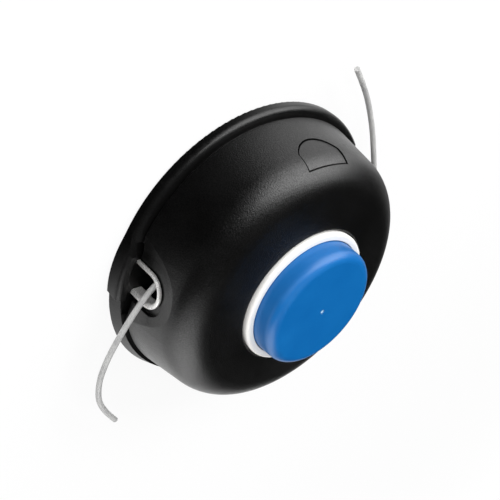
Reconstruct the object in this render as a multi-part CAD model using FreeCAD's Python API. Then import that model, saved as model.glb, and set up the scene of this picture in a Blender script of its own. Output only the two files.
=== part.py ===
import FreeCAD, Part
import math
import os

# Bump feed trimmer head, in millimetres. +Z points from the gearbox side towards the knob, and the
# origin is the middle of the back face. The eyelets are on the X axis, the release tabs on the Y axis.

# Front cap: a bowl with tapered side, rounded shoulder and slightly coned face
BODY_RADIUS = 61.8
SIDE_TAPER_DEG = 9.0
CAP_WALL = 2.0
FACE_WALL = 2.1
FACE_SLOPE_DEG = 7.0
SHOULDER_ROUND = 15.0
CAP_EDGE_ROUND = 0.6

# Back housing: floor, rim, spigot inside the cap, hub face and ribs
RIM_OVERHANG = 3.7
RIM_HEIGHT = 5.2
RIM_WIDTH = 7.2
RIM_ROUND = 2.4
RIM_BACK_ROUND = 0.6
SEAM_GAP = 0.8
SEAM_DEPTH = 1.0
FLOOR_RECESS = 1.8
FLOOR_THICK = 2.2
SPIGOT_WALL = 2.2
SPIGOT_HEIGHT = 7.0
SPIGOT_CLEAR = 0.15
HUB_FACE_RADIUS = 14.0
RIB_COUNT = 12
RIB_THICK = 1.6
RIB_SETBACK = 0.6

# Sloped reliefs of the rim that trail each eyelet, and the lobes and raised guards beside the eyelets
RELIEF_HEIGHT = 5.0
RELIEF_SETBACK = 0.3
RELIEF_TOP_SETBACK = 2.2
RELIEF_START_DEG = 6.9
RELIEF_RIGHT_END_DEG = 40.0
RELIEF_LEFT_END_DEG = 77.0
RELIEF_SLANT_DEG = 1.1
LOBE_PROUD = 1.2
LOBE_RADIUS = 45.0
LOBE_BLEND = 60.0
GUARD_HEIGHT = 7.2
GUARD_LEAD = 12.0
GUARD_RAMP_DEG = 22.0
GUARD_GAP = 0.6

# Post and drive insert
POST_RADIUS = 10.0
POST_PROUD = 1.0
POST_ROUND = 0.8
POST_CAP = 5.0
NUT_FLATS = 14.0
NUT_LENGTH = 15.0
NUT_RECESS = 0.6
NUT_CLEAR = 0.05
NUT_CHAMFER = 0.7
NUT_FLANGE = 2.4
NUT_FLANGE_REACH = 1.2
THREAD_RADIUS = 4.32
SHAFT_CLEAR = 1.0

# Spool and its stop lugs
BUMP_TRAVEL = 7.0
END_CLEAR = 0.3
FLANGE_THICK = 1.8
CHANNEL_WIDTH = 6.7
LINE_SPACE = 10.0
POST_CLEAR = 0.08
BORE_LENGTH = 6.0
BORE_WALL = 2.4
DECK_DROP = 3.6
DECK_THICK = 2.5
HUB_WALL = 3.0
COLLAR_WALL = 3.0
COLLAR_PROUD = 1.6
COLLAR_ROUND = 1.2
COLLAR_CLEAR = 0.6
LUG_COUNT = 6
LUG_DEG = 14.0
LUG_WIDTH = 6.0
LUG_SETBACK = 4.0
LUG_HEIGHT = 3.0
LUG_TIP_CLEAR = 0.4
NOTCH_WIDTH = 3.2
NOTCH_DEPTH = 5.0

# Knob, with snap legs through the deck of the spool
KNOB_RADIUS = 26.7
KNOB_PROUD = 9.7
KNOB_WALL = 2.4
KNOB_DRAFT = 0.4
KNOB_ROUND = 4.0
KNOB_GAP = 0.3
GATE_RADIUS = 0.9
GATE_DEPTH = 0.3
LEG_COUNT = 4
LEG_DEG = 24.0
LEG_THICK = 1.4
LEG_FLEX = 1.2
LEG_CLEAR = 0.2
HOOK_CLEAR = 0.8
HOOK_REACH = 1.0
HOOK_HEIGHT = 2.2

# Spring and thrust washer
SPRING_WIRE = 1.8
SPRING_GAP = 2.3
SPRING_TURNS = 4.5
SPRING_STATIONS = 20
WASHER_THICK = 1.4
WASHER_GAP = 0.1
WASHER_OVERLAP = 1.2
WASHER_CLEAR = 0.6

# Eyelets: U-shaped liners of channel section, clipped on the edge of a slot in the cap
EYE_DEPTH = 5.6
EYE_PLATE = 2.4
EYE_HOLE_HALF = 5.8
EYE_RISE = 8.6
EYE_WEB = 0.9
EYE_LIP_HEIGHT = 2.2
EYE_LIP_THICK = 1.6
EYE_CLEAR = 0.1
EYE_MOUTH_ROUND = 1.4
EYE_EDGE_ROUND = 0.6
EYE_FOOT_CLEAR = 0.2

# Scoop in the cap round each eyelet: a deep pocket with a shallow sloping surround off to one side
POCKET_GAP = 2.0
POCKET_ROUND = 8.0
POCKET_STEP = 1.2
SCOOP_SLOPE_DEG = 6.5
SCOOP_SHIFT = 3.8
BOSS_MARGIN = 7.0

# Release tabs: a D-shaped pad on a tongue that swings on a pin through two ears
TAB_HALF_WIDTH = 10.55
TAB_SIDE = 7.2
TAB_ARC_RISE = 6.5
TAB_DROP = 7.4
TAB_GAP = 0.6
TAB_RECESS = 0.35
TONGUE_HALF_WIDTH = 7.0
TONGUE_THICK = 1.8
TONGUE_LEAN_DEG = 5.5
TONGUE_TOP_MARGIN = 1.2
PIN_RADIUS = 1.5
PIN_CLEAR = 0.08
PIN_INSET = 3.1
PIN_RISE = 2.4
EAR_THICK = 2.2
EAR_CLEAR = 0.3
EAR_WALL = 1.4

# Nylon line: wound coils, and the two tails on routes chosen by hand
LINE_RADIUS = 1.2
COIL_DEPTH = 19.0
COIL_CLEAR = 0.1
LEFT_ROUTE = [
    (-50.0, 4.2, 13.0), (-55.0, 0.8, 13.0), (-59.8, -6.4, 13.0), (-65.4, -18.0, 13.0),
    (-70.2, -30.5, 13.0), (-72.0, -43.0, 13.0), (-68.6, -56.5, 13.0), (-59.2, -66.6, 13.0),
]
RIGHT_ROUTE = [
    (50.0, -4.2, 13.0), (55.0, -0.8, 13.0), (59.8, 6.4, 13.0), (62.6, 16.5, 12.6), (61.5, 27.0, 11.4),
    (57.2, 37.6, 10.3), (51.6, 49.5, 9.8), (44.6, 61.0, 9.8), (36.0, 72.5, 10.0), (26.6, 82.0, 10.3),
]
ARC_SHARE = 0.45

OVERSHOOT = 1.0

# Worked-out radii
TAPER = math.tan(math.radians(SIDE_TAPER_DEG))
SLOPE = math.tan(math.radians(FACE_SLOPE_DEG))
SIDE_WALL = CAP_WALL / math.cos(math.radians(SIDE_TAPER_DEG))
FACE_DROP = FACE_WALL / math.cos(math.radians(FACE_SLOPE_DEG))
RIM_RADIUS = BODY_RADIUS + RIM_OVERHANG
SPIGOT_RADIUS = BODY_RADIUS - SIDE_WALL - SPIGOT_CLEAR
COLLAR_INNER = KNOB_RADIUS + KNOB_GAP
COLLAR_RADIUS = COLLAR_INNER + COLLAR_WALL
OPENING_RADIUS = COLLAR_RADIUS + COLLAR_CLEAR
FLANGE_RADIUS = BODY_RADIUS - SIDE_WALL - LINE_SPACE - CAP_WALL
LUG_OUTER = FLANGE_RADIUS - LUG_SETBACK
LUG_INNER = LUG_OUTER - LUG_WIDTH
NUT_CORNER = NUT_FLATS / math.sqrt(3)
NUT_FLANGE_RADIUS = NUT_CORNER + NUT_FLANGE_REACH
BORE_RADIUS = POST_RADIUS + POST_CLEAR
SPRING_RADIUS = POST_RADIUS + SPRING_GAP + SPRING_WIRE / 2
WASHER_OUTER = SPRING_RADIUS + SPRING_WIRE / 2 + WASHER_OVERLAP
LEG_INNER = WASHER_OUTER + HOOK_CLEAR + HOOK_REACH
LEG_OUTER = LEG_INNER + LEG_THICK
HUB_INNER = LEG_OUTER + LEG_FLEX
HUB_OUTER = HUB_INNER + HUB_WALL
COIL_RADIUS = HUB_OUTER + COIL_DEPTH

# Worked-out heights, from the back face to the top of the knob
FLOOR_Z = FLOOR_RECESS + FLOOR_THICK
REAR_Z = RIM_HEIGHT + SEAM_GAP
SPIGOT_Z = FLOOR_Z + SPIGOT_HEIGHT
BACK_FLANGE_Z = FLOOR_Z + LUG_HEIGHT + END_CLEAR + BUMP_TRAVEL
MID_FLANGE_Z = BACK_FLANGE_Z + FLANGE_THICK + CHANNEL_WIDTH
FRONT_FLANGE_Z = MID_FLANGE_Z + FLANGE_THICK + CHANNEL_WIDTH
FLANGE_TOP_Z = FRONT_FLANGE_Z + FLANGE_THICK
CAP_LUG_Z = FLANGE_TOP_Z + END_CLEAR
FACE_Z = CAP_LUG_Z + LUG_HEIGHT + FACE_DROP + (LUG_OUTER - OPENING_RADIUS) * SLOPE
COLLAR_Z = FACE_Z + COLLAR_PROUD
KNOB_Z = COLLAR_Z + KNOB_PROUD
DECK_TOP_Z = FLANGE_TOP_Z - DECK_DROP
DECK_Z = DECK_TOP_Z - DECK_THICK
WASHER_Z = DECK_Z - WASHER_GAP - WASHER_THICK
POST_Z = DECK_Z + BORE_LENGTH + POST_PROUD
NUT_Z = NUT_RECESS + NUT_LENGTH

# Worked-out places of the eyelet and the tab
PLATE_OUT_X = BODY_RADIUS - EYE_DEPTH
PLATE_IN_X = PLATE_OUT_X - EYE_PLATE
EYE_OUTER_HALF = EYE_HOLE_HALF + EYE_LIP_HEIGHT
EYE_SLOT_HALF = EYE_HOLE_HALF + EYE_WEB + EYE_CLEAR
EYE_FOOT_Z = FLOOR_Z + EYE_FOOT_CLEAR
EYE_ARC_Z = FLOOR_Z + EYE_RISE
POCKET_HALF = EYE_OUTER_HALF + POCKET_GAP
POCKET_TOP_Z = EYE_ARC_Z + POCKET_HALF
SCOOP_X = PLATE_OUT_X + POCKET_STEP
SCOOP_RUN = BODY_RADIUS + OVERSHOOT - SCOOP_X
SCOOP_FLARE = SCOOP_RUN / math.tan(math.radians(SCOOP_SLOPE_DEG))
BOSS_HALF = POCKET_HALF + BOSS_MARGIN
BOSS_TOP_Z = POCKET_TOP_Z + BOSS_MARGIN
TAB_TOP_Z = FACE_Z - TAB_DROP
TAB_SIDE_Z = TAB_TOP_Z - TAB_SIDE
TAB_BOTTOM_Z = TAB_SIDE_Z - TAB_ARC_RISE
PIN_Y = SPIGOT_RADIUS - PIN_INSET
PIN_Z = FLOOR_Z + PIN_RISE
EAR_IN_X = TONGUE_HALF_WIDTH + EAR_CLEAR
EAR_OUT_X = EAR_IN_X + EAR_THICK
EAR_HALF = PIN_RADIUS + PIN_CLEAR + EAR_WALL


def vec(x, y, z):
    return FreeCAD.Vector(x, y, z)


ORIGIN = vec(0, 0, 0)
Z_AXIS = vec(0, 0, 1)
X_AXIS = vec(1, 0, 0)


# Outline helpers
def rounded_outline(corners, place):
    """Closed wire through corners (a, b, radius), each rounded by a tangent arc of its radius."""
    joints = []
    for i, (a, b, radius) in enumerate(corners):
        corner = vec(a, b, 0)
        before = vec(*corners[i - 1][:2], 0) - corner
        after = vec(*corners[(i + 1) % len(corners)][:2], 0) - corner
        before.normalize()
        after.normalize()
        half = before.getAngle(after) / 2
        tangent = radius / math.tan(half)
        bisector = before + after
        if radius > 0:
            bisector.normalize()
        middle = corner + bisector * (radius / math.sin(half) - radius)
        joints.append((corner + before * tangent, middle, corner + after * tangent, radius))
    edges = []
    for i, (start, middle, end, radius) in enumerate(joints):
        if radius > 0:
            edges.append(Part.Arc(place(start), place(middle), place(end)).toShape())
        following = joints[(i + 1) % len(joints)][0]
        if (following - end).Length > 1e-6:
            edges.append(Part.LineSegment(place(end), place(following)).toShape())
    return Part.Wire(edges)


def on_xz(point):
    return vec(point.x, 0, point.y)


def on_x(x):
    return lambda point: vec(x, point.x, point.y)


def turned(corners):
    """Solid of revolution about Z of an outline of (radius, height, rounding) corners."""
    return Part.Face(rounded_outline(corners, on_xz)).revolve(ORIGIN, Z_AXIS, 360)


def ring(inner, outer, low, high):
    return turned([(inner, low, 0), (outer, low, 0), (outer, high, 0), (inner, high, 0)])


def swept(corners, start_deg, span_deg):
    """Outline of (radius, height, rounding) corners swept round Z, counter-clockwise seen from the knob."""
    shape = Part.Face(rounded_outline(corners, on_xz)).revolve(ORIGIN, Z_AXIS, span_deg)
    return turn(shape, start_deg)


def sector(inner, outer, low, high, start_deg, span_deg):
    corners = [(inner, low, 0), (outer, low, 0), (outer, high, 0), (inner, high, 0)]
    return swept(corners, start_deg, span_deg)


def disc(radius, low, high):
    return Part.makeCylinder(radius, high - low, vec(0, 0, low))


def block(x0, x1, y0, y1, z0, z1):
    return Part.makeBox(x1 - x0, y1 - y0, z1 - z0, vec(x0, y0, z0))


def turn(shape, degrees):
    copy = shape.copy()
    copy.rotate(ORIGIN, Z_AXIS, degrees)
    return copy


def pair(shape):
    """The shape and its twin on the opposite side of the head."""
    return [shape, turn(shape, 180)]


def around(shape, count, start_deg=0.0):
    return [turn(shape, start_deg + i * 360.0 / count) for i in range(count)]


def fused(first, others):
    return first.fuse(others).removeSplitter()


def single(shape):
    """The one solid that a finished piece consists of."""
    return shape.Solids[0] if len(shape.Solids) == 1 else shape


# Form of the front cap
def side_radius(z):
    return BODY_RADIUS - (z - REAR_Z) * TAPER


def face_height(radius):
    return FACE_Z + (OPENING_RADIUS - radius) * SLOPE


def shoulder_corner(side_offset, face_offset):
    """Where the side and face lines meet, each moved inwards by its offset."""
    reach = OPENING_RADIUS - BODY_RADIUS - REAR_Z * TAPER + side_offset
    z = (FACE_Z - face_offset + reach * SLOPE) / (1 - TAPER * SLOPE)
    return side_radius(z) - side_offset, z


def cap_envelope(low):
    """The cap's outside as a filled solid from the height low upwards."""
    shoulder = shoulder_corner(0, 0)
    return turned([(0, low, 0), (side_radius(low), low, 0), (*shoulder, SHOULDER_ROUND),
                   (0, face_height(0), 0)])


def cap_shell():
    inner_rear = BODY_RADIUS - SIDE_WALL
    return turned([
        (inner_rear, REAR_Z, 0), (BODY_RADIUS, REAR_Z, CAP_EDGE_ROUND),
        (*shoulder_corner(0, 0), SHOULDER_ROUND), (OPENING_RADIUS, FACE_Z, CAP_EDGE_ROUND),
        (OPENING_RADIUS, FACE_Z - FACE_DROP, 0),
        (*shoulder_corner(SIDE_WALL, FACE_DROP), SHOULDER_ROUND - CAP_WALL),
    ])


def arch(half_width, top, rounding):
    """Corners of an upright opening with rounded top, in Y and Z, running out below the floor."""
    low = FLOOR_Z - OVERSHOOT
    return [(-half_width, low, 0), (half_width, low, 0), (half_width, top, rounding),
            (-half_width, top, rounding)]


def arch_prism(half_width, top, rounding, x0, x1):
    face = Part.Face(rounded_outline(arch(half_width, top, rounding), on_x(x0)))
    return face.extrude(X_AXIS * (x1 - x0))


def eyelet_boss():
    boss = block(PLATE_IN_X, BODY_RADIUS, -BOSS_HALF, BOSS_HALF, REAR_Z, BOSS_TOP_Z)
    boss = boss.common(cap_envelope(REAR_Z))
    plate_half = EYE_OUTER_HALF + EYE_LIP_HEIGHT
    plate = block(PLATE_IN_X, PLATE_OUT_X, -plate_half, plate_half, EYE_FOOT_Z, REAR_Z + OVERSHOOT)
    return boss.fuse(plate)


def eyelet_cuts():
    pocket = arch_prism(POCKET_HALF, POCKET_TOP_Z, POCKET_ROUND, PLATE_OUT_X, BODY_RADIUS)
    slot_top = EYE_ARC_Z + EYE_SLOT_HALF
    slot = arch_prism(EYE_SLOT_HALF, slot_top, EYE_SLOT_HALF, PLATE_IN_X - OVERSHOOT, BODY_RADIUS)
    inner = rounded_outline(arch(POCKET_HALF, POCKET_TOP_Z, POCKET_ROUND), on_x(SCOOP_X))
    flared = arch(POCKET_HALF + SCOOP_FLARE, POCKET_TOP_Z + SCOOP_FLARE, POCKET_ROUND + SCOOP_FLARE)
    outer = rounded_outline(flared, on_x(SCOOP_X + SCOOP_RUN))
    scoop = Part.makeLoft([inner, outer], True, True)
    scoop.translate(vec(0, -SCOOP_SHIFT, 0))
    return [pocket, slot, scoop]


def tab_prism(gap):
    """D-shaped prism along Y: straight edge towards the knob, arc towards the rim."""
    half = TAB_HALF_WIDTH - gap
    top = TAB_TOP_Z - gap
    y = PIN_Y - TAB_HALF_WIDTH
    left, right = vec(-half, y, TAB_SIDE_Z), vec(half, y, TAB_SIDE_Z)
    top_left, top_right = vec(-half, y, top), vec(half, y, top)
    arc = Part.Arc(left, vec(0, y, TAB_BOTTOM_Z + gap), right).toShape()
    sides = Part.makePolygon([right, top_right, top_left, left]).Edges
    return Part.Face(Part.Wire([arc] + sides)).extrude(vec(0, BODY_RADIUS - y, 0))


def front_cap():
    lug = sector(LUG_INNER, LUG_OUTER, CAP_LUG_Z, FACE_Z - FACE_DROP / 2, -LUG_DEG / 2, LUG_DEG)
    lug = lug.common(cap_envelope(REAR_Z))
    lugs = around(lug, LUG_COUNT, 180.0 / LUG_COUNT)
    cap = fused(cap_shell(), lugs + pair(eyelet_boss()))
    cuts = pair(tab_prism(0))
    for cut in eyelet_cuts():
        cuts += pair(cut)
    return single(cap.cut(cuts).removeSplitter())


# Back housing
def spigot_radius(z):
    """Outside of the spigot, which follows the cap's tapered wall."""
    return SPIGOT_RADIUS - (z - REAR_Z) * TAPER


def rim_plate(height):
    """Rim outline with a slight swell at each eyelet, blended into the circle by hollow arcs."""
    lobe_x = RIM_RADIUS + LOBE_PROUD - LOBE_RADIUS
    far, near = RIM_RADIUS + LOBE_BLEND, LOBE_RADIUS + LOBE_BLEND
    blend_x = (far ** 2 - near ** 2 + lobe_x ** 2) / (2 * lobe_x)
    blend = vec(blend_x, math.sqrt(far ** 2 - blend_x ** 2), 0)
    on_rim = blend * (RIM_RADIUS / far)
    on_lobe = vec(lobe_x, 0, 0) + (blend - vec(lobe_x, 0, 0)) * (LOBE_RADIUS / near)
    inwards = on_rim + on_lobe - blend * 2
    inwards.normalize()
    hollow = blend + inwards * LOBE_BLEND
    crest = vec(RIM_RADIUS + LOBE_PROUD, 0, 0)
    side = vec(0, RIM_RADIUS, 0)
    edges = []
    for sx, sy in [(1, 1), (-1, 1), (-1, -1), (1, -1)]:
        lobe, middle, rim = [vec(sx * p.x, sy * p.y, 0) for p in (on_lobe, hollow, on_rim)]
        edges.append(Part.Arc(lobe, middle, rim).toShape())
    for sign in (1, -1):
        low, high = vec(sign * on_lobe.x, -on_lobe.y, 0), vec(sign * on_lobe.x, on_lobe.y, 0)
        edges.append(Part.Arc(low, crest * sign, high).toShape())
        left, right = vec(-on_rim.x, sign * on_rim.y, 0), vec(on_rim.x, sign * on_rim.y, 0)
        edges.append(Part.Arc(left, side * sign, right).toShape())
    return Part.Face(Part.Wire(Part.sortEdges(edges)[0])).extrude(vec(0, 0, height))


def rounded_plate(height):
    plate = rim_plate(height)
    upper = [e for e in plate.Edges if e.BoundBox.ZMin > height / 2]
    return plate.makeFillet(RIM_ROUND, upper)


def rim_ring(inner):
    plate = rounded_plate(RIM_HEIGHT)
    lower = [e for e in plate.Edges if e.BoundBox.ZMax < RIM_BACK_ROUND / 2]
    plate = plate.makeFillet(RIM_BACK_ROUND, lower)
    return plate.cut(disc(inner, -OVERSHOOT, RIM_HEIGHT + OVERSHOOT))


def eyelet_guard():
    """Raised stretch of the rim beside the eyelet on the +X side, with a ramp at its leading end."""
    base = RIM_HEIGHT / 2
    trail = RIM_RADIUS * math.sin(math.radians(RELIEF_START_DEG)) + OVERSHOOT
    ramp_foot = -GUARD_LEAD - (GUARD_HEIGHT - base) / math.tan(math.radians(GUARD_RAMP_DEG))
    corners = [(ramp_foot, base, 0), (trail, base, 0), (trail, GUARD_HEIGHT, 0), (-GUARD_LEAD, GUARD_HEIGHT, 0)]
    stretch = Part.Face(rounded_outline(corners, on_x(0))).extrude(X_AXIS * (2 * RIM_RADIUS))
    guard = rounded_plate(GUARD_HEIGHT).common(stretch)
    return guard.cut(disc(BODY_RADIUS + GUARD_GAP, 0, GUARD_HEIGHT + OVERSHOOT))


def relief_cut(end_deg):
    """Sloped stretch of the rim that trails the eyelet on the +X side and begins on a slant."""
    beyond = RIM_RADIUS + LOBE_PROUD + OVERSHOOT
    top = GUARD_HEIGHT + OVERSHOOT
    foot = RIM_RADIUS - RELIEF_SETBACK
    start = RELIEF_START_DEG - RELIEF_SLANT_DEG
    flank = swept([
        (SPIGOT_RADIUS, RELIEF_HEIGHT, 0), (RIM_RADIUS - RELIEF_TOP_SETBACK, RELIEF_HEIGHT, 0), (foot, 0, 0),
        (foot, -OVERSHOOT, 0), (beyond, -OVERSHOOT, 0), (beyond, top, 0), (SPIGOT_RADIUS, top, 0),
    ], start, end_deg - start)
    slant = RIM_RADIUS * math.radians(RELIEF_SLANT_DEG)
    corners = [(0, GUARD_HEIGHT, 0), (0, top, 0), (-2 * slant, top, 0), (-2 * slant, -OVERSHOOT, 0),
               (-slant, -OVERSHOOT, 0), (-slant, 0, 0)]
    kept = Part.Face(rounded_outline(corners, on_x(0))).extrude(X_AXIS * (2 * RIM_RADIUS))
    return flank.cut(turn(kept, RELIEF_START_DEG))


def hexagon(flats, low, high):
    radius = flats / math.sqrt(3)
    turns = [math.radians(60 * i) for i in range(7)]
    outline = Part.makePolygon([vec(radius * math.cos(a), radius * math.sin(a), low) for a in turns])
    return Part.Face(outline).extrude(vec(0, 0, high - low))


def tab_ears():
    """Two ears on the +Y side that carry the pin of a release tab."""
    top = PIN_Z + EAR_HALF
    y0 = PIN_Y - EAR_HALF
    y1 = math.sqrt(spigot_radius(top) ** 2 - EAR_OUT_X ** 2)
    bore = Part.makeCylinder(PIN_RADIUS + PIN_CLEAR, 2 * EAR_OUT_X, vec(-EAR_OUT_X, PIN_Y, PIN_Z), X_AXIS)
    ears = [block(EAR_IN_X, EAR_OUT_X, y0, y1, FLOOR_Z - FLOOR_THICK / 2, top),
            block(-EAR_OUT_X, -EAR_IN_X, y0, y1, FLOOR_Z - FLOOR_THICK / 2, top)]
    return [ear.cut(bore) for ear in ears]


def back_housing():
    rim_inner = RIM_RADIUS - RIM_WIDTH
    step = SPIGOT_RADIUS + SPIGOT_CLEAR + SEAM_DEPTH
    body = turned([
        (0, 0, 0), (HUB_FACE_RADIUS, 0, 0), (HUB_FACE_RADIUS, FLOOR_RECESS, 0),
        (rim_inner, FLOOR_RECESS, 0), (rim_inner, 0, 0), (step, 0, 0), (step, REAR_Z, 0),
        (SPIGOT_RADIUS, REAR_Z, 0), (spigot_radius(SPIGOT_Z), SPIGOT_Z, 0),
        (spigot_radius(SPIGOT_Z) - SPIGOT_WALL, SPIGOT_Z, 0),
        (spigot_radius(SPIGOT_Z) - SPIGOT_WALL, FLOOR_Z, 0),
        (POST_RADIUS, FLOOR_Z, 0), (POST_RADIUS, POST_Z, POST_ROUND), (0, POST_Z, 0),
    ])
    rib = block(HUB_FACE_RADIUS - OVERSHOOT, rim_inner + OVERSHOOT, -RIB_THICK / 2, RIB_THICK / 2,
                RIB_SETBACK, FLOOR_RECESS + FLOOR_THICK / 2)
    lug = sector(LUG_INNER, LUG_OUTER, FLOOR_Z - FLOOR_THICK / 2, FLOOR_Z + LUG_HEIGHT,
                 -LUG_DEG / 2, LUG_DEG)
    ribs = around(rib, RIB_COUNT, 180.0 / RIB_COUNT)
    rim = [rim_ring((rim_inner + step) / 2)] + pair(eyelet_guard())
    body = fused(body, rim + ribs + around(lug, LUG_COUNT))
    ear_room = EAR_OUT_X + OVERSHOOT
    notch = block(PLATE_IN_X - OVERSHOOT, step, -BOSS_HALF, BOSS_HALF, FLOOR_Z, SPIGOT_Z + OVERSHOOT)
    window = block(-ear_room, ear_room, PIN_Y - EAR_HALF, SPIGOT_RADIUS, FLOOR_Z, SPIGOT_Z + OVERSHOOT)
    window = window.common(disc(SPIGOT_RADIUS + SPIGOT_CLEAR, 0, POST_Z))
    cuts = pair(notch) + pair(window)
    cuts += [relief_cut(RELIEF_RIGHT_END_DEG), turn(relief_cut(RELIEF_LEFT_END_DEG), 180)]
    cuts.append(hexagon(NUT_FLATS + 2 * NUT_CLEAR, 0, NUT_Z + NUT_CLEAR))
    flange_seat = NUT_RECESS + NUT_FLANGE + NUT_CLEAR
    cuts.append(disc(NUT_FLANGE_RADIUS + NUT_CLEAR, -OVERSHOOT, flange_seat))
    cuts.append(disc(THREAD_RADIUS + SHAFT_CLEAR, 0, POST_Z - POST_CAP))
    body = body.cut(cuts)
    ears = [twin for ear in tab_ears() for twin in pair(ear)]
    return single(fused(body, ears))


# Release tab on the +Y side
def release_tab():
    lean = math.radians(TONGUE_LEAN_DEG)
    along = vec(0, -math.sin(lean), math.cos(lean))
    across = vec(0, math.cos(lean), math.sin(lean))
    pin = vec(0, PIN_Y, PIN_Z)
    rise = (TAB_TOP_Z - TAB_GAP - TONGUE_TOP_MARGIN - PIN_Z) / math.cos(lean)
    half = across * (TONGUE_THICK / 2)
    start = vec(-TONGUE_HALF_WIDTH, 0, 0) + pin
    corners = [start - half, start + half, start + half + along * rise, start - half + along * rise]
    tongue = Part.Face(Part.makePolygon(corners + corners[:1])).extrude(X_AXIS * (2 * TONGUE_HALF_WIDTH))
    behind = vec(-BODY_RADIUS, 0, 0) + pin - half
    depth = across * (-BODY_RADIUS)
    hidden = [behind - along * BODY_RADIUS, behind + along * BODY_RADIUS,
              behind + along * BODY_RADIUS + depth, behind - along * BODY_RADIUS + depth]
    inside = Part.Face(Part.makePolygon(hidden + hidden[:1])).extrude(X_AXIS * (2 * BODY_RADIUS))
    surface = cap_envelope(FLOOR_Z)
    surface.translate(vec(0, -TAB_RECESS, 0))
    pad = tab_prism(TAB_GAP).common(surface).cut(inside)
    axle = Part.makeCylinder(PIN_RADIUS, 2 * EAR_OUT_X, vec(-EAR_OUT_X, PIN_Y, PIN_Z), X_AXIS)
    return single(fused(pad, [tongue, axle]))


# Eyelet on the +X side
def eyelet():
    groove_out = PLATE_OUT_X + EYE_CLEAR
    groove_in = PLATE_IN_X - EYE_CLEAR
    face_out = groove_out + EYE_LIP_THICK
    face_in = groove_in - EYE_LIP_THICK
    hole, web, lip = EYE_HOLE_HALF, EYE_HOLE_HALF + EYE_WEB, EYE_OUTER_HALF
    section = [
        (face_in, hole, EYE_MOUTH_ROUND), (face_out, hole, EYE_MOUTH_ROUND), (face_out, lip, EYE_EDGE_ROUND),
        (groove_out, lip, EYE_EDGE_ROUND), (groove_out, web, 0), (groove_in, web, 0),
        (groove_in, lip, EYE_EDGE_ROUND), (face_in, lip, EYE_EDGE_ROUND),
    ]
    face = Part.Face(rounded_outline(section, lambda point: vec(point.x, point.y, EYE_ARC_Z)))
    bend = face.revolve(vec(0, 0, EYE_ARC_Z), X_AXIS, 180)
    leg = face.extrude(vec(0, 0, EYE_FOOT_Z - EYE_ARC_Z))
    other = leg.mirror(ORIGIN, vec(0, 1, 0))
    return single(fused(bend, [leg, other]))


# Spool, with the collar that shows round the knob
def spool():
    edge = FLANGE_RADIUS
    body = turned([
        (HUB_INNER, BACK_FLANGE_Z, 0),
        (edge, BACK_FLANGE_Z, 0), (edge, BACK_FLANGE_Z + FLANGE_THICK, 0),
        (HUB_OUTER, BACK_FLANGE_Z + FLANGE_THICK, 0), (HUB_OUTER, MID_FLANGE_Z, 0),
        (edge, MID_FLANGE_Z, 0), (edge, MID_FLANGE_Z + FLANGE_THICK, 0),
        (HUB_OUTER, MID_FLANGE_Z + FLANGE_THICK, 0), (HUB_OUTER, FRONT_FLANGE_Z, 0),
        (edge, FRONT_FLANGE_Z, 0), (edge, FLANGE_TOP_Z, 0),
        (COLLAR_RADIUS, FLANGE_TOP_Z, 0), (COLLAR_RADIUS, COLLAR_Z, COLLAR_ROUND),
        (COLLAR_INNER, COLLAR_Z, 0), (COLLAR_INNER, FLANGE_TOP_Z, 0), (HUB_INNER, FLANGE_TOP_Z, 0),
        (HUB_INNER, DECK_TOP_Z, 0), (BORE_RADIUS + BORE_WALL, DECK_TOP_Z, 0),
        (BORE_RADIUS + BORE_WALL, DECK_Z + BORE_LENGTH, 0), (BORE_RADIUS, DECK_Z + BORE_LENGTH, 0),
        (BORE_RADIUS, DECK_Z, 0), (HUB_INNER, DECK_Z, 0),
    ])
    tip = CAP_LUG_Z + LUG_HEIGHT - LUG_TIP_CLEAR
    front_lug = sector(LUG_INNER, LUG_OUTER, FRONT_FLANGE_Z + FLANGE_THICK / 2, tip, -LUG_DEG / 2, LUG_DEG)
    back_tip = BACK_FLANGE_Z - LUG_HEIGHT + LUG_TIP_CLEAR
    back_lug = sector(LUG_INNER, LUG_OUTER, back_tip, BACK_FLANGE_Z + FLANGE_THICK / 2,
                      -LUG_DEG / 2, LUG_DEG)
    body = fused(body, around(front_lug, LUG_COUNT) + around(back_lug, LUG_COUNT))
    slot_deg = LEG_DEG + math.degrees(2 * LEG_CLEAR / LEG_INNER)
    slot = sector(LEG_INNER - LEG_CLEAR, HUB_INNER, DECK_Z - OVERSHOOT, DECK_TOP_Z + OVERSHOOT,
                  -slot_deg / 2, slot_deg)
    notch = block(edge - NOTCH_DEPTH, edge + OVERSHOOT, -NOTCH_WIDTH / 2, NOTCH_WIDTH / 2,
                  MID_FLANGE_Z - OVERSHOOT, FLANGE_TOP_Z + OVERSHOOT)
    notch = turn(notch, 90.0 / LUG_COUNT)
    return single(body.cut(around(slot, LEG_COUNT) + pair(notch)))


def bump_knob():
    inner_top = KNOB_Z - KNOB_WALL
    inner = KNOB_RADIUS - KNOB_WALL
    body = turned([
        (inner, FLANGE_TOP_Z, 0), (KNOB_RADIUS, FLANGE_TOP_Z, 0), (KNOB_RADIUS, COLLAR_Z, 0),
        (KNOB_RADIUS - KNOB_DRAFT, KNOB_Z, KNOB_ROUND), (0, KNOB_Z, 0), (0, inner_top, 0),
        (inner - KNOB_DRAFT, inner_top, KNOB_ROUND - KNOB_WALL),
    ])
    hook_z = DECK_Z - LEG_CLEAR
    leg = sector(LEG_INNER, LEG_OUTER, hook_z - HOOK_HEIGHT, inner_top + KNOB_WALL / 2, -LEG_DEG / 2, LEG_DEG)
    hook = sector(LEG_INNER - HOOK_REACH, LEG_OUTER, hook_z - HOOK_HEIGHT, hook_z, -LEG_DEG / 2, LEG_DEG)
    body = fused(body, around(leg, LEG_COUNT) + around(hook, LEG_COUNT))
    return single(body.cut(disc(GATE_RADIUS, KNOB_Z - GATE_DEPTH, KNOB_Z + OVERSHOOT)))


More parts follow.
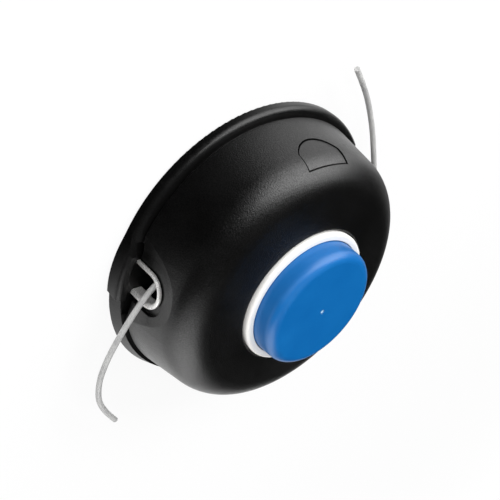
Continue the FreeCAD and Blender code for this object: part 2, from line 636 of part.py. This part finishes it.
# Spring, washer and drive insert
def spring():
    """Helical wire, as a ruled loft through round sections along the helix."""
    low = FLOOR_Z + SPRING_WIRE / 2
    rise = WASHER_Z - SPRING_WIRE / 2 - low
    count = round(SPRING_TURNS * SPRING_STATIONS)
    sections = []
    for i in range(count + 1):
        angle = 2 * math.pi * SPRING_TURNS * i / count
        centre = vec(SPRING_RADIUS * math.cos(angle), SPRING_RADIUS * math.sin(angle), low + rise * i / count)
        heading = vec(-math.sin(angle), math.cos(angle), 0)
        sections.append(Part.Wire(Part.makeCircle(SPRING_WIRE / 2, centre, heading)))
    return single(Part.makeLoft(sections, True, True))


def thrust_washer():
    return ring(POST_RADIUS + WASHER_CLEAR, WASHER_OUTER, WASHER_Z, WASHER_Z + WASHER_THICK)


def drive_nut():
    """Hexagonal insert with a round flange at its mouth and a countersunk bore."""
    body = fused(disc(NUT_FLANGE_RADIUS, NUT_RECESS, NUT_RECESS + NUT_FLANGE),
                 [hexagon(NUT_FLATS, NUT_RECESS + NUT_FLANGE / 2, NUT_Z)])
    bore = turned([
        (0, NUT_RECESS - NUT_CHAMFER, 0), (THREAD_RADIUS + 2 * NUT_CHAMFER, NUT_RECESS - NUT_CHAMFER, 0),
        (THREAD_RADIUS, NUT_RECESS + NUT_CHAMFER, 0), (THREAD_RADIUS, NUT_Z + OVERSHOOT, 0),
        (0, NUT_Z + OVERSHOOT, 0),
    ])
    return single(body.cut(bore))


# Nylon line
def line_coil(low):
    return ring(HUB_OUTER + COIL_CLEAR, COIL_RADIUS, low, low + CHANNEL_WIDTH)


def line_tail(route, name):
    """Round line along straight runs joined by tangent arcs as large as the runs allow."""
    points = [vec(*point) for point in route]
    edges = []
    radii = []
    reached = points[0]
    for before, corner, after in zip(points, points[1:], points[2:]):
        back, ahead = before - corner, after - corner
        turn_half = (math.pi - back.getAngle(ahead)) / 2
        tangent = ARC_SHARE * min(back.Length, ahead.Length)
        radius = tangent / math.tan(turn_half)
        back.normalize()
        ahead.normalize()
        start, end = corner + back * tangent, corner + ahead * tangent
        bisector = back + ahead
        bisector.normalize()
        middle = corner + bisector * (radius / math.cos(turn_half) - radius)
        edges.append(Part.LineSegment(reached, start).toShape())
        edges.append(Part.Arc(start, middle, end).toShape())
        radii.append(radius)
        reached = end
    edges.append(Part.LineSegment(reached, points[-1]).toShape())
    path = Part.Wire(edges)
    section = Part.Wire(Part.makeCircle(LINE_RADIUS, points[0], points[1] - points[0]))
    tube = path.makePipeShell([section], True, True)
    length = sum(edge.Length for edge in edges)
    print(name, "length", round(length, 1), "radii", [round(r, 1) for r in radii],
          "volume ratio", round(tube.Volume / (math.pi * LINE_RADIUS ** 2 * length), 4))
    return single(tube)


os.makedirs("parts", exist_ok=True)
tab = release_tab()
liner = eyelet()
pieces = {
    "back_housing": back_housing(),
    "front_cap": front_cap(),
    "release_tab_upper": tab,
    "release_tab_lower": turn(tab, 180),
    "eyelet_right": liner,
    "eyelet_left": turn(liner, 180),
    "spool": spool(),
    "bump_knob": bump_knob(),
    "spring": spring(),
    "thrust_washer": thrust_washer(),
    "drive_nut": drive_nut(),
    "line_coil_back": line_coil(BACK_FLANGE_Z + FLANGE_THICK),
    "line_coil_front": line_coil(MID_FLANGE_Z + FLANGE_THICK),
    "line_tail_left": line_tail(LEFT_ROUTE, "left tail"),
    "line_tail_right": line_tail(RIGHT_ROUTE, "right tail"),
}
for name, shape in pieces.items():
    print(name, "valid", shape.isValid(), "solids", len(shape.Solids), "volume", round(shape.Volume, 1))
    shape.exportStep("parts/" + name + ".step")
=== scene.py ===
import math

import bpy
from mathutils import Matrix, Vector


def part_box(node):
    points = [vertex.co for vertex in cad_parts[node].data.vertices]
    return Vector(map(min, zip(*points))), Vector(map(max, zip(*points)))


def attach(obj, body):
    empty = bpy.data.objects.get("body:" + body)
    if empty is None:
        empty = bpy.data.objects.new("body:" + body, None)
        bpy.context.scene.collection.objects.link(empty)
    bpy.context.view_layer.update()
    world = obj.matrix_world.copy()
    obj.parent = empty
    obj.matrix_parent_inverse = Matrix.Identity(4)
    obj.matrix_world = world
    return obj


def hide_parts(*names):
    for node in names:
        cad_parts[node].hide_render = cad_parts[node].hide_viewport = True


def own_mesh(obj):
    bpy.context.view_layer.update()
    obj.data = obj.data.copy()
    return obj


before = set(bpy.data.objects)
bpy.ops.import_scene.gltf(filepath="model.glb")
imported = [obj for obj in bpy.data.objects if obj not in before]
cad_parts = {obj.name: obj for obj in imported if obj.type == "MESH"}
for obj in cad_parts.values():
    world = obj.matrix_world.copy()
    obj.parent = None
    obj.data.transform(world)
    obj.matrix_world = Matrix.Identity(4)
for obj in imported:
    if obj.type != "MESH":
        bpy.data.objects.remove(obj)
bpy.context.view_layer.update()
scene = bpy.context.scene
scene.view_settings.view_transform = "Standard"

TURN = 2.0 * math.pi
UP = Vector((0.0, 0.0, 1.0))

# Sizes repeated from the part, lengths in metres
LINE_DIAMETER = 0.0024
HUB_OUTER = 0.0227
SPRING_RADIUS = 0.0132
SPRING_WIRE = 0.0018
SPRING_LOW = 0.0040
SPRING_HIGH = 0.0255
SPRING_TURNS = 4.5
NUT_FLATS = 0.0140
NUT_FLANGE_RADIUS = 0.00928
NUT_FLANGE_HIGH = 0.0030
THREAD_MINOR = 0.00432
THREAD_MAJOR = 0.0050
THREAD_PITCH = 0.00125

# Line tails: control points repeated from the part, in metres
LEFT_ROUTE = [
    (-0.0500, 0.0042, 0.0130), (-0.0550, 0.0008, 0.0130), (-0.0598, -0.0064, 0.0130),
    (-0.0654, -0.0180, 0.0130), (-0.0702, -0.0305, 0.0130), (-0.0720, -0.0430, 0.0130),
    (-0.0686, -0.0565, 0.0130), (-0.0592, -0.0666, 0.0130),
]
RIGHT_ROUTE = [
    (0.0500, -0.0042, 0.0130), (0.0550, -0.0008, 0.0130), (0.0598, 0.0064, 0.0130),
    (0.0626, 0.0165, 0.0126), (0.0615, 0.0270, 0.0114), (0.0572, 0.0376, 0.0103),
    (0.0516, 0.0495, 0.0098), (0.0446, 0.0610, 0.0098), (0.0360, 0.0725, 0.0100),
    (0.0266, 0.0820, 0.0103),
]
TAIL_STEPS = 14  # points between two control points
TAIL_ROUNDNESS = 5  # bevel resolution, which gives 14 sides

# Wound line, lengths in metres
WOUND_STEPS = 72  # points in a turn
WOUND_SIDES = 10
TURNS_PER_LAYER = 2
LAYER_RISE = 0.00205  # less than the line's diameter, so the layers press into each other
SIDE_GAP = 0.0002  # to each wall of the channel
HUB_GAP = 0.0003
CLIMB_START = 0.92  # share of a layer after which the line climbs to the next
TURN_SLACK = 0.985  # share of the line's radius that is drawn

# Spring
SPRING_STEPS = 40  # points in a turn
SPRING_SIDES = 16

# Drive insert, lengths in metres
NUT_SIDES = 72
NUT_BEVEL = 0.0003
MOUTH_FLARE = 0.0007  # width and depth of the thread's countersink
THREAD_MARGIN = 0.0002  # plain bore above the thread
THREAD_FADE = 0.0004  # run-out at each end of the thread
THREAD_ROWS = 96
THREAD_SLOPE = 1.35  # steepness of the flanks, which leaves a flat root
THREAD_CREST = 0.12  # cut from the depth, which leaves a flat crest

# Shading, lengths in metres
NODE_SHARP = math.radians(24.0)  # edges sharper than this stay sharp
PIECE_SHARP = math.radians(30.0)
EDGE_SAMPLES = 6
MOULDED_EDGE = 0.0003  # radius of softened edges
METAL_EDGE = 0.0002
GRAIN_HEIGHT = 0.0003
SCRATCH_HEIGHT = 0.00005
SCUFF_HEIGHT = 0.0001
NOISE_SPAN = (0.3, 0.7)  # where nearly all values of a noise texture lie

# Camera at the photograph's viewing angle, fitted to the circles of the head
CAMERA_PLACE = (-0.25478, 0.20844, 0.22731)
CAMERA_TURN = (-44.165, -39.058, 17.727)  # degrees
CAMERA_LENS = 68.30  # millimetres
CAMERA_SENSOR = 36.0  # millimetres

# Stage, lengths in metres
MIDDLE = (0.0, 0.0, 0.03)  # of the head, where most lamps aim
FLOOR_HALF = 3.0
PAPER = 0.82  # grey level
WHITE_REACH = (0.15, 0.55)  # distance from the head over which the paper turns plain white
WHITE_SHARE = (0.86, 1.0)  # share of plain white at the two ends of that distance
ROOM_LEVEL = 0.012  # light of the room on the head
SEEN_RAYS = ["Is Camera Ray", "Is Transmission Ray"]
MIRROR_RAYS = ["Is Glossy Ray"]


def add_camera():
    data = bpy.data.cameras.new("photo_camera")
    data.sensor_width = CAMERA_SENSOR
    data.lens = CAMERA_LENS
    camera = bpy.data.objects.new("photo_camera", data)
    camera.location = CAMERA_PLACE
    camera.rotation_euler = [math.radians(angle) for angle in CAMERA_TURN]
    scene.collection.objects.link(camera)
    scene.camera = camera


# Node helpers
def new_material(name):
    material = bpy.data.materials.new(name)
    material.use_nodes = True
    tree = material.node_tree
    return material, tree, tree.nodes["Principled BSDF"]


def grey(level):
    return (level, level, level)


def coordinates(tree, kind):
    return tree.nodes.new("ShaderNodeTexCoord").outputs[kind]


def feed(tree, sockets, values):
    """Each socket takes its value, which is a constant or another node's output."""
    for socket, value in zip(sockets, values):
        if isinstance(value, bpy.types.NodeSocket):
            tree.links.new(value, socket)
        else:
            socket.default_value = value


def number_math(tree, operation, *values):
    node = tree.nodes.new("ShaderNodeMath")
    node.operation = operation
    feed(tree, node.inputs, values)
    return node.outputs["Value"]


def vector_math(tree, operation, *values):
    node = tree.nodes.new("ShaderNodeVectorMath")
    node.operation = operation
    feed(tree, node.inputs, values)
    return node.outputs["Value" if operation in ("LENGTH", "DOT_PRODUCT") else "Vector"]


def map_range(tree, source, span, result, smooth=False):
    """Number that goes from the first result to the second as the source goes through the span."""
    node = tree.nodes.new("ShaderNodeMapRange")
    if smooth:
        node.interpolation_type = "SMOOTHSTEP"
    names = ("Value", "From Min", "From Max", "To Min", "To Max")
    feed(tree, [node.inputs[name] for name in names], (source, *span, *result))
    return node.outputs["Result"]


def noise(tree, scale, detail, roughness):
    """Noise in object coordinates, with scale in cells per metre."""
    node = tree.nodes.new("ShaderNodeTexNoise")
    names = ("Vector", "Scale", "Detail", "Roughness")
    values = (coordinates(tree, "Object"), scale, detail, roughness)
    feed(tree, [node.inputs[name] for name in names], values)
    return node.outputs["Fac"]


def ramp(tree, source, low, high):
    """Colour that goes from low to high over the span of a noise texture."""
    node = tree.nodes.new("ShaderNodeValToRGB")
    for element, position, colour in zip(node.color_ramp.elements, NOISE_SPAN, (low, high)):
        element.position = position
        element.color = (*colour, 1.0)
    tree.links.new(source, node.inputs["Fac"])
    return node.outputs["Color"]


def bump(tree, source, strength, distance, normal=None):
    """Normals of a bumpy surface, laid over other normals where they are given."""
    node = tree.nodes.new("ShaderNodeBump")
    node.inputs["Strength"].default_value = strength
    node.inputs["Distance"].default_value = distance
    tree.links.new(source, node.inputs["Height"])
    if normal is not None:
        tree.links.new(normal, node.inputs["Normal"])
    return node.outputs["Normal"]


def soft_edges(tree, radius):
    """Normals that round the sharp edges of moulded and turned pieces."""
    node = tree.nodes.new("ShaderNodeBevel")
    node.samples = EDGE_SAMPLES
    node.inputs["Radius"].default_value = radius
    return node.outputs["Normal"]


# Materials
def moulded(name, dark, light, rough, grain, depth, specular, pit_shade=None):
    """Moulded plastic: sparked grain with painted shade in its pits, which lowers the mirror tint there,
    slow mottling, softened edges.
    """
    material, tree, shader = new_material(name)
    slow = noise(tree, scale=55.0, detail=4.0, roughness=0.6)
    fine = noise(tree, scale=grain, detail=2.5, roughness=0.6)
    tree.links.new(ramp(tree, slow, dark, light), shader.inputs["Base Color"])
    tree.links.new(map_range(tree, slow, NOISE_SPAN, rough), shader.inputs["Roughness"])
    shader.inputs["Specular IOR Level"].default_value = specular
    if pit_shade is not None:
        # painted shade in the grain's pits: lower mirror tint where the grain is low
        tree.links.new(ramp(tree, fine, grey(pit_shade), grey(1.0)), shader.inputs["Specular Tint"])
    edges = soft_edges(tree, MOULDED_EDGE)
    sparked = bump(tree, fine, strength=depth, distance=GRAIN_HEIGHT, normal=edges)
    tree.links.new(sparked, shader.inputs["Normal"])
    return material


def metal(name, dark, light, rough, scratch, depth, metallic=1.0):
    """Bare or plated metal with fine scratches."""
    material, tree, shader = new_material(name)
    slow = noise(tree, scale=120.0, detail=3.0, roughness=0.55)
    fine = noise(tree, scale=scratch, detail=3.0, roughness=0.6)
    tree.links.new(ramp(tree, slow, dark, light), shader.inputs["Base Color"])
    tree.links.new(map_range(tree, fine, NOISE_SPAN, rough), shader.inputs["Roughness"])
    shader.inputs["Metallic"].default_value = metallic
    edges = soft_edges(tree, METAL_EDGE)
    scratched = bump(tree, fine, strength=depth, distance=SCRATCH_HEIGHT, normal=edges)
    tree.links.new(scratched, shader.inputs["Normal"])
    return material


def nylon_line():
    """Grey extruded nylon, slightly translucent, with faint scuffs."""
    material, tree, shader = new_material("grey_nylon_line")
    slow = noise(tree, scale=160.0, detail=4.0, roughness=0.6)
    fine = noise(tree, scale=1800.0, detail=3.0, roughness=0.6)
    colour = ramp(tree, slow, grey(0.37), (0.51, 0.51, 0.50))
    tree.links.new(colour, shader.inputs["Base Color"])
    tree.links.new(map_range(tree, slow, NOISE_SPAN, (0.34, 0.50)), shader.inputs["Roughness"])
    shader.inputs["Subsurface Weight"].default_value = 0.25
    shader.inputs["Subsurface Radius"].default_value = (0.0012, 0.0012, 0.0012)
    shader.inputs["Subsurface Scale"].default_value = 0.6
    scuffed = bump(tree, fine, strength=0.12, distance=SCUFF_HEIGHT)
    tree.links.new(scuffed, shader.inputs["Normal"])
    return material


def painted_gate_highlight(material, core, edge, share, pale):
    """Painted highlight: a pale spot on the axis of a moulding, where its plastic was let in, standing for
    light caught in the gate's dimple.
    """
    tree = material.node_tree
    colour = tree.nodes["Principled BSDF"].inputs["Base Color"]
    plain = colour.links[0].from_socket
    flat = vector_math(tree, "MULTIPLY", coordinates(tree, "Object"), (1.0, 1.0, 0.0))
    reach = vector_math(tree, "LENGTH", flat)
    # pale colour mixed in near the axis as a painted highlight
    mix = tree.nodes.new("ShaderNodeMix")
    mix.data_type = "RGBA"
    mix.inputs["B"].default_value = (*pale, 1.0)
    tree.links.new(map_range(tree, reach, (core, edge), (share, 0.0)), mix.inputs["Factor"])
    tree.links.new(plain, mix.inputs["A"])
    tree.links.new(mix.outputs["Result"], colour)


def painted_face_shade(material, facing, tint_left, rougher):
    """Painted shade on the face across the axis, a lower mirror tint, with more roughness than the walls,
    where its normal's Z is in facing.
    """
    tree = material.node_tree
    shader = tree.nodes["Principled BSDF"]
    tint = shader.inputs["Specular Tint"]
    roughness = shader.inputs["Roughness"]
    axes = tree.nodes.new("ShaderNodeSeparateXYZ")
    tree.links.new(coordinates(tree, "Normal"), axes.inputs["Vector"])
    share = map_range(tree, axes.outputs["Z"], facing, (0.0, 1.0), smooth=True)
    level = map_range(tree, share, (0.0, 1.0), (1.0, tint_left))
    # painted shade: the mirror tint drops on faces turned along the axis
    dimmed = vector_math(tree, "MULTIPLY", tint.links[0].from_socket, level)
    tree.links.new(dimmed, tint)
    matt = number_math(tree, "MULTIPLY_ADD", share, rougher, roughness.links[0].from_socket)
    tree.links.new(matt, roughness)


CAP_BLACK = moulded(
    "black_cap_nylon", dark=grey(0.0016), light=grey(0.0028), rough=(0.29, 0.35),
    grain=2000.0, depth=0.46, specular=0.84, pit_shade=0.46)
RIM_BLACK = moulded(
    "black_rim_nylon", dark=grey(0.0016), light=grey(0.0028), rough=(0.34, 0.42),
    grain=1450.0, depth=0.12, specular=0.60, pit_shade=0.7)
TAB_BLACK = moulded(
    "black_tab_nylon", dark=grey(0.0018), light=grey(0.0030), rough=(0.29, 0.35),
    grain=2000.0, depth=0.46, specular=0.95, pit_shade=0.46)
KNOB_BLUE = moulded(
    "blue_knob_plastic", dark=(0.0018, 0.112, 0.362), light=(0.0026, 0.129, 0.395),
    rough=(0.35, 0.42), grain=1600.0, depth=0.05, specular=0.55)
SPOOL_WHITE = moulded(
    "white_spool_plastic", dark=(0.84, 0.825, 0.80), light=(0.89, 0.875, 0.85),
    rough=(0.34, 0.46), grain=1200.0, depth=0.03, specular=0.45)
EYELET_METAL = metal(
    "bright_eyelet_metal", dark=(0.90, 0.89, 0.87), light=(0.97, 0.96, 0.94),
    rough=(0.24, 0.36), scratch=2600.0, depth=0.06, metallic=0.60)
SPRING_STEEL = metal(
    "spring_steel", dark=(0.30, 0.30, 0.31), light=grey(0.46),
    rough=(0.26, 0.40), scratch=3000.0, depth=0.10)
WASHER_STEEL = metal(
    "zinc_washer_steel", dark=(0.50, 0.49, 0.46), light=(0.66, 0.65, 0.62),
    rough=(0.30, 0.44), scratch=2200.0, depth=0.10)
NUT_STEEL = metal(
    "zinc_nut_steel", dark=(0.46, 0.44, 0.39), light=(0.64, 0.61, 0.55),
    rough=(0.28, 0.42), scratch=2400.0, depth=0.10)
LINE_GREY = nylon_line()
# painted highlight: pale spot on the knob's gate
painted_gate_highlight(KNOB_BLUE, core=0.0006, edge=0.0010, share=0.9, pale=(0.50, 0.72, 0.86))
# painted shade: the cap's face across the axis mirrors less
painted_face_shade(CAP_BLACK, facing=(0.86, 0.985), tint_left=0.45, rougher=0.09)

NODE_MATERIALS = {
    "back_housing": RIM_BLACK,
    "front_cap": CAP_BLACK,
    "release_tab_upper": TAB_BLACK,
    "release_tab_lower": TAB_BLACK,
    "eyelet_left": EYELET_METAL,
    "eyelet_right": EYELET_METAL,
    "spool": SPOOL_WHITE,
    "bump_knob": KNOB_BLUE,
    "thrust_washer": WASHER_STEEL,
}


def dress_nodes():
    """Materials and smooth shading for the nodes that stay as they are."""
    for name, material in NODE_MATERIALS.items():
        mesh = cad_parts[name].data
        mesh.materials.clear()
        mesh.materials.append(material)
        mesh.shade_smooth()
        mesh.set_sharp_from_angle(angle=NODE_SHARP)


# Piece and mesh helpers
def add_piece(name, data, material, node, body):
    """Mesh or curve that stands for a CAD node and rides on its body."""
    data.materials.append(material)
    piece = bpy.data.objects.new(name, data)
    scene.collection.objects.link(piece)
    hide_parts(node)
    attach(piece, body)
    return piece


def smooth_mesh(name, points, faces):
    mesh = bpy.data.meshes.new(name)
    mesh.from_pydata(points, [], faces)
    mesh.shade_smooth()
    mesh.set_sharp_from_angle(angle=PIECE_SHARP)
    return mesh


def clamp(value):
    """Value held between 0 and 1."""
    return max(0.0, min(1.0, value))


def around(radius, angle, z):
    """Point at a radius and an angle round the Z axis."""
    return (radius * math.cos(angle), radius * math.sin(angle), z)


def band(first, second, count):
    """Faces between two loops of count points, given the number of each loop's first point."""
    faces = []
    for k in range(count):
        n = (k + 1) % count
        faces.append((first + k, first + n, second + n, second + k))
    return faces


def swept(name, centres, radius, sides):
    """Round tube with closed ends along centres that wind about the Z axis."""
    points = []
    faces = []
    last = len(centres) - 1
    for i, centre in enumerate(centres):
        heading = Vector(centres[min(i + 1, last)]) - Vector(centres[max(i - 1, 0)])
        heading.normalize()
        side = heading.cross(UP).normalized()
        lift = heading.cross(side)
        for k in range(sides):
            angle = TURN * k / sides
            points.append(Vector(centre) + radius * (math.cos(angle) * side + math.sin(angle) * lift))
    for i in range(last):
        faces += band(i * sides, (i + 1) * sides, sides)
    faces.append(tuple(range(sides - 1, -1, -1)))
    faces.append(tuple(range(last * sides, (last + 1) * sides)))
    return smooth_mesh(name, points, faces)


def stacked(name, loops):
    """Closed skin over loops of equal count, the last joined to the first."""
    count = len(loops[0])
    points = [point for loop in loops for point in loop]
    faces = []
    for i in range(len(loops)):
        faces += band(i * count, (i + 1) % len(loops) * count, count)
    return smooth_mesh(name, points, faces)


# Wound line in a channel of the spool
def wound_line(node):
    """One line laid in layers, to and fro across the channel."""
    low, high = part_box(node)
    radius = LINE_DIAMETER / 2.0
    layers = int((high[0] - HUB_OUTER - HUB_GAP - LINE_DIAMETER) / LAYER_RISE) + 1
    across = high[2] - low[2] - LINE_DIAMETER - 2.0 * SIDE_GAP
    centres = []
    for i in range(layers * TURNS_PER_LAYER * WOUND_STEPS + 1):
        turn = i / WOUND_STEPS
        layer = min(int(turn / TURNS_PER_LAYER), layers - 1)
        part = turn / TURNS_PER_LAYER - layer
        climb = clamp((part - CLIMB_START) / (1.0 - CLIMB_START)) if layer < layers - 1 else 0.0
        r = HUB_OUTER + HUB_GAP + radius + LAYER_RISE * (layer + climb)
        z = low[2] + SIDE_GAP + radius + across * (part if layer % 2 == 0 else 1.0 - part)
        centres.append(around(r, TURN * turn, z))
    name = node + "_wound"
    mesh = swept(name, centres, radius * TURN_SLACK, WOUND_SIDES)
    add_piece(name, mesh, LINE_GREY, node, "spool")


# Compression spring
def coil_spring():
    """Compression spring wound between its low and high height."""
    height = SPRING_HIGH - SPRING_LOW
    count = int(SPRING_TURNS * SPRING_STEPS)
    centres = []
    for i in range(count + 1):
        share = i / count
        z = SPRING_LOW + SPRING_WIRE / 2.0 + (height - SPRING_WIRE) * share
        centres.append(around(SPRING_RADIUS, TURN * SPRING_TURNS * share, z))
    mesh = swept("return_spring", centres, SPRING_WIRE / 2.0, SPRING_SIDES)
    piece = add_piece("return_spring", mesh, SPRING_STEEL, "spring", "housing")
    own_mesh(piece)


# Drive insert with its thread
def ring(radius_at, z):
    """Loop of the insert at one height, with a radius for each angle."""
    angles = [TURN * k / NUT_SIDES for k in range(NUT_SIDES)]
    return [around(radius_at(angle), angle, z) for angle in angles]


def circle(radius, z):
    return ring(lambda angle: radius, z)


def hexagon(inset, z):
    """Loop through the flats of the insert, set in all round."""
    def radius_at(angle):
        off_middle = angle % (TURN / 6.0) - TURN / 12.0
        return NUT_FLATS / 2.0 / math.cos(off_middle) - inset

    return ring(radius_at, z)


def thread_loop(z, low, high):
    """Loop through a left-hand thread that fades out at its low and high end."""
    fade = clamp(min(z - low, high - z) / THREAD_FADE)

    def radius_at(angle):
        phase = (z / THREAD_PITCH + angle / TURN) % 1.0
        depth = clamp(THREAD_SLOPE * (1.0 - abs(2.0 * phase - 1.0)) - THREAD_CREST)
        return THREAD_MINOR + (THREAD_MAJOR - THREAD_MINOR) * depth * fade

    return ring(radius_at, z)


def threaded_insert():
    """Hexagonal insert with a round flange, bevelled edges and a countersunk thread."""
    low, high = [corner[2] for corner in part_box("drive_nut")]
    loops = [
        circle(THREAD_MINOR + MOUTH_FLARE, low),
        circle(NUT_FLANGE_RADIUS - NUT_BEVEL, low),
        circle(NUT_FLANGE_RADIUS, low + NUT_BEVEL),
        circle(NUT_FLANGE_RADIUS, NUT_FLANGE_HIGH - NUT_BEVEL),
        circle(NUT_FLANGE_RADIUS - NUT_BEVEL, NUT_FLANGE_HIGH),
        hexagon(0.0, NUT_FLANGE_HIGH),
        hexagon(0.0, high - NUT_BEVEL),
        hexagon(NUT_BEVEL, high),
        circle(THREAD_MINOR, high),
    ]
    thread_low = low + MOUTH_FLARE
    thread_high = high - THREAD_MARGIN
    for i in range(THREAD_ROWS + 1):
        z = thread_high - (thread_high - thread_low) * i / THREAD_ROWS
        loops.append(thread_loop(z, thread_low, thread_high))
    mesh = stacked("drive_insert", loops)
    add_piece("drive_insert", mesh, NUT_STEEL, "drive_nut", "housing")


# Free tails of the line
def tail(name, node, route):
    """Cord on a smooth spline whose control points are the route."""
    curve = bpy.data.curves.new(name, "CURVE")
    curve.dimensions = "3D"
    curve.resolution_u = TAIL_STEPS
    curve.bevel_depth = LINE_DIAMETER / 2.0
    curve.bevel_resolution = TAIL_ROUNDNESS
    curve.use_fill_caps = True
    spline = curve.splines.new("NURBS")
    spline.points.add(len(route) - 1)
    for point, place in zip(spline.points, route):
        point.co = (*place, 1.0)
    spline.order_u = 3
    spline.use_endpoint_u = True
    piece = add_piece(name, curve, LINE_GREY, node, "housing")


# Stage: white floor, soft boxes and world
def ray_share(tree, kinds):
    """1 for the kinds of ray named, 0 for others."""
    path = tree.nodes.new("ShaderNodeLightPath")
    total = path.outputs[kinds[0]]
    for kind in kinds[1:]:
        total = number_math(tree, "MAXIMUM", total, path.outputs[kind])
    return total


def emission(tree, strength):
    node = tree.nodes.new("ShaderNodeEmission")
    feed(tree, [node.inputs["Strength"]], [strength])
    return node.outputs["Emission"]


def mix_shaders(tree, share, first, second):
    node = tree.nodes.new("ShaderNodeMixShader")
    feed(tree, node.inputs, (share, first, second))
    return node.outputs["Shader"]


def dim_sector(tree, bearing, towards, span, least):
    """Brightness that falls from 1 to least where the floor's bearing nears one direction."""
    ahead = vector_math(tree, "DOT_PRODUCT", bearing, towards)
    return map_range(tree, ahead, span, (1.0, least), smooth=True)


def floor_paper():
    """White to the camera. White to mirrors too, but dark on the camera's side and dimmer at its right."""
    material = bpy.data.materials.new("floor_paper")
    material.use_nodes = True
    tree = material.node_tree
    tree.nodes.clear()
    place = coordinates(tree, "Object")
    paper = tree.nodes.new("ShaderNodeBsdfDiffuse")
    paper.inputs["Color"].default_value = (*grey(PAPER), 1.0)
    white = map_range(tree, vector_math(tree, "LENGTH", place), WHITE_REACH, WHITE_SHARE)
    seen = number_math(tree, "MULTIPLY", ray_share(tree, SEEN_RAYS), white)
    plain = mix_shaders(tree, seen, paper.outputs["BSDF"], emission(tree, 1.0))
    bearing = vector_math(tree, "NORMALIZE", place)
    front = dim_sector(tree, bearing, towards=(-0.774, 0.633, 0.0), span=(0.54, 0.92), least=0.0)
    right = dim_sector(tree, bearing, towards=(0.970, -0.243, 0.0), span=(0.74, 0.97), least=0.30)
    sweep = emission(tree, number_math(tree, "MULTIPLY", front, right))
    output = tree.nodes.new("ShaderNodeOutputMaterial")
    surface = mix_shaders(tree, ray_share(tree, MIRROR_RAYS), plain, sweep)
    tree.links.new(surface, output.inputs["Surface"])
    return material


def add_floor():
    corners = ((-1, -1), (1, -1), (1, 1), (-1, 1))
    mesh = bpy.data.meshes.new("floor")
    mesh.from_pydata([(FLOOR_HALF * x, FLOOR_HALF * y, 0.0) for x, y in corners], [], [(0, 1, 2, 3)])
    mesh.materials.append(floor_paper())
    floor = bpy.data.objects.new("floor", mesh)
    scene.collection.objects.link(floor)


def add_world():
    """White to the camera, directly or through glass, and a dim studio to everything else."""
    world = bpy.data.worlds.new("studio")
    world.use_nodes = True
    tree = world.node_tree
    back = tree.nodes["Background"]
    back.inputs["Color"].default_value = (1.0, 1.0, 1.0, 1.0)
    level = map_range(tree, ray_share(tree, SEEN_RAYS), (0.0, 1.0), (ROOM_LEVEL, 1.0))
    tree.links.new(level, back.inputs["Strength"])
    scene.world = world


def soft_box(name, place, target, size, power, mirrored=True):
    """Rectangular lamp, with its width and height in metres and its power in watts."""
    data = bpy.data.lights.new(name, "AREA")
    data.shape = "RECTANGLE"
    data.size = size[0]
    data.size_y = size[1]
    data.energy = power
    light = bpy.data.objects.new(name, data)
    light.location = place
    aim = Vector(target) - Vector(place)
    light.rotation_euler = aim.to_track_quat("-Z", "Y").to_euler()
    light.visible_camera = False
    light.visible_glossy = mirrored
    scene.collection.objects.link(light)


def add_lamps():
    """Boxes that the nylon mirrors, and two fills that it does not."""
    soft_box("far_side_box", (0.31, 0.61, 0.15), (0.0, 0.03, 0.03), size=(0.92, 0.30), power=3.0)
    soft_box("key_box", (0.22, 0.54, 0.45), MIDDLE, size=(0.92, 0.32), power=4.3)
    soft_box("near_side_box", (-0.21, -0.54, 0.28), MIDDLE, size=(0.56, 0.54), power=2.1)
    soft_box("top_fill", (0.0, 0.0, 0.90), MIDDLE, size=(0.90, 0.90), power=3.9, mirrored=False)
    soft_box("front_fill", (-0.60, 0.45, 0.45), MIDDLE, size=(0.70, 0.50), power=4.6, mirrored=False)


add_camera()
tail("line_left", "line_tail_left", LEFT_ROUTE)
tail("line_right", "line_tail_right", RIGHT_ROUTE)
dress_nodes()
for coil in ("line_coil_back", "line_coil_front"):
    wound_line(coil)
coil_spring()
threaded_insert()
add_floor()
add_world()
add_lamps()
